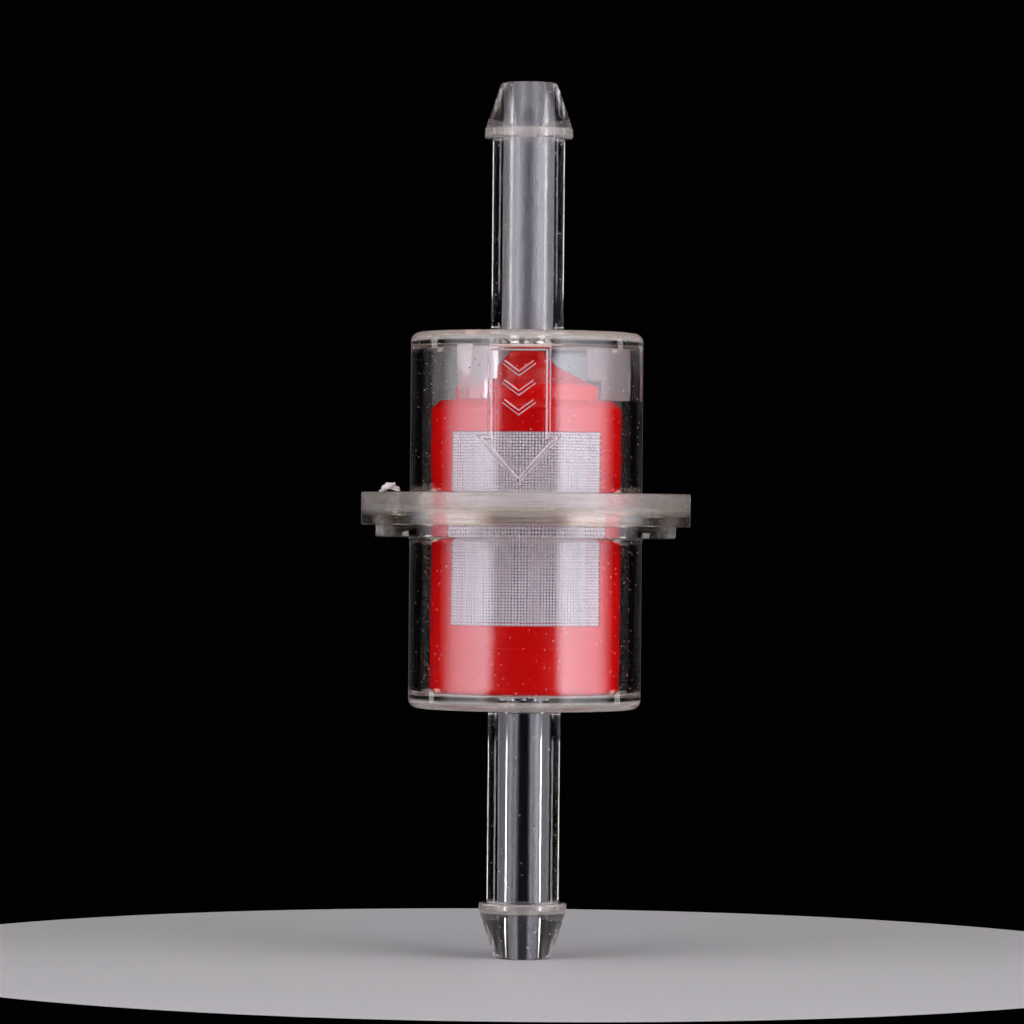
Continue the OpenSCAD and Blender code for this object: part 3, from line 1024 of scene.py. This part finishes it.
FLOOR_R = 60
FLOOR_SIDES = 128
floor_turns = np.linspace(0, 2 * math.pi, FLOOR_SIDES + 1)[:-1]
floor_edge = [(FLOOR_R * math.sin(t), FLOOR_R * math.cos(t), OUTLET_LOW.z) for t in floor_turns]
floor = make_object("floor", floor_edge, [tuple(range(FLOOR_SIDES))])
wear(floor, floor_material())


PANEL_DISTANCE = 300
SLANT_FOOT_Z = -60
SLANT_TOP_Z = 30


def hang(light, name, position, way):
    """Hangs the light at the position, in millimetres, unseen by the camera and facing against way."""
    obj = bpy.data.objects.new(name, light)
    obj.location = position * MM
    obj.rotation_euler = way.to_track_quat("Z", "Y").to_euler()
    obj.visible_camera = False
    bpy.context.scene.collection.objects.link(obj)


def softbox(name, azimuth, width, bottom, top, power, colour):
    """A tall soft panel aimed at the axis; azimuth from the camera's side, in degrees."""
    light = bpy.data.lights.new(name, "AREA")
    light.shape = "RECTANGLE"
    light.size = width * MM
    light.size_y = (top - bottom) * MM
    light.energy = power
    light.color = colour
    a = math.radians(azimuth)
    way = Vector((math.sin(a), -math.cos(a), 0))
    hang(light, name, way * PANEL_DISTANCE + Vector((0, 0, (top + bottom) / 2)), way)
    return light


def fade(light, azimuth, width, first, last, soft_first, soft_last, slant):
    """Makes a panel's light run from first, at the edge nearest to the camera, to last.

    The soft shares of its width at each edge fade to nothing, and slant moves the first edge
    away from the camera's side towards the panel's foot.
    """
    light.use_nodes = True
    tree = light.node_tree
    a = math.radians(azimuth)
    where = tree.nodes.new("ShaderNodeNewGeometry").outputs["Position"]
    across = tree.nodes.new("ShaderNodeVectorMath")
    across.operation = "DOT_PRODUCT"
    across.inputs[1].default_value = Vector((math.cos(a), math.sin(a), 0)) * math.copysign(1, azimuth)
    tree.links.new(where, across.inputs[0])
    offset = across.outputs["Value"]
    half = width / 2 * MM
    level = ramp(tree, offset, -half, half, first, last)
    split = tree.nodes.new("ShaderNodeSeparateXYZ")
    tree.links.new(where, split.inputs[0])
    height = split.outputs["Z"]
    shift = ramp(tree, height, SLANT_FOOT_Z * MM, SLANT_TOP_Z * MM, -slant * MM, 0)
    start = maths(tree, "ADD", offset, shift)
    start = ramp(tree, start, -half, -half + soft_first * width * MM, 0, 1)
    end = ramp(tree, offset, half - soft_last * width * MM, half, 1, 0)
    level = maths(tree, "MULTIPLY", maths(tree, "MULTIPLY", level, start), end)
    tree.links.new(level, tree.nodes["Emission"].inputs["Strength"])


def top_box(name, position, width, power, colour):
    """A square soft panel above the object, aimed at its middle."""
    light = bpy.data.lights.new(name, "AREA")
    light.size = width * MM
    light.energy = power
    light.color = colour
    hang(light, name, position, position)


COOL = (0.95, 0.93, 1.06)
NEUTRAL = (1, 0.98, 0.95)
DARK = (0.0005, 0.0005, 0.0005, 1)
BOX_FOOT_Z, BOX_TOP_Z = -160, 280
LEFT_AZIMUTH, LEFT_WIDTH = -58, 410
RIGHT_AZIMUTH, RIGHT_WIDTH = 61, 420
SOFT_FIRST, SOFT_LAST = 0.16, 0.25
SIDE_AZIMUTH, SIDE_WIDTH, SIDE_POWER = 104, 44, 0.036
SIDE_NEAR_Z, SIDE_FAR_Z = 32, 112
RIM_AZIMUTH, RIM_WIDTH, RIM_POWER = 169.5, 48, 0.005

# Two large panels light the front
left_box = softbox("left_box", LEFT_AZIMUTH, LEFT_WIDTH, BOX_FOOT_Z, BOX_TOP_Z, 1.7, COOL)
fade(left_box, LEFT_AZIMUTH, LEFT_WIDTH, 1.5, 0.45, SOFT_FIRST, SOFT_LAST, slant=80)
right_box = softbox("right_box", RIGHT_AZIMUTH, RIGHT_WIDTH, BOX_FOOT_Z, BOX_TOP_Z, 1.95, COOL)
fade(right_box, RIGHT_AZIMUTH, RIGHT_WIDTH, 1.6, 0.5, SOFT_FIRST, SOFT_LAST, slant=50)

# Short strips at the tails' heights draw the tails' edges and leave the body's sides dark
for side, name in ((-1, "left"), (1, "right")):
    azimuth = side * SIDE_AZIMUTH
    softbox(name + "_high_side", azimuth, SIDE_WIDTH, SIDE_NEAR_Z, SIDE_FAR_Z, SIDE_POWER, NEUTRAL)
    softbox(name + "_low_side", azimuth, SIDE_WIDTH, -SIDE_FAR_Z, -SIDE_NEAR_Z, SIDE_POWER, NEUTRAL)

# Faint strips behind the object draw the body's outline
softbox("left_rim", -RIM_AZIMUTH, RIM_WIDTH, BOX_FOOT_Z, BOX_TOP_Z, RIM_POWER, NEUTRAL)
softbox("right_rim", RIM_AZIMUTH, RIM_WIDTH, BOX_FOOT_Z, BOX_TOP_Z, RIM_POWER, NEUTRAL)
top_box("top_box", Vector((0, -120, 330)), width=300, power=0.5, colour=NEUTRAL)

world = bpy.data.worlds.new("studio")
bpy.context.scene.world = world
world.use_nodes = True
world.node_tree.nodes["Background"].inputs["Color"].default_value = DARK

# Where the photograph was taken from: its distance by how far the round edges' ellipses open
CAMERA_DISTANCE = 480
CAMERA_LENS = 190.3
CAMERA_AIM = Vector((-1.23, 0, 0.76))
CAMERA_ROLL = math.radians(0.49)
camera_data = bpy.data.cameras.new("camera")
camera_data.sensor_width = 36
camera_data.lens = CAMERA_LENS
camera_data.clip_start = 0.01
camera_data.clip_end = 10
camera = bpy.data.objects.new("camera", camera_data)
bpy.context.scene.collection.objects.link(camera)
camera.location = (CAMERA_AIM - Vector((0, CAMERA_DISTANCE, 0))) * MM
level_view = Matrix.Rotation(math.pi / 2, 4, "X")
camera.rotation_euler = (level_view @ Matrix.Rotation(CAMERA_ROLL, 4, "Z")).to_euler()
bpy.context.scene.camera = camera

scene = bpy.context.scene
scene.view_settings.view_transform = "Standard"
scene.cycles.max_bounces = 24
scene.cycles.transmission_bounces = 20
scene.cycles.glossy_bounces = 8
scene.cycles.transparent_max_bounces = 24
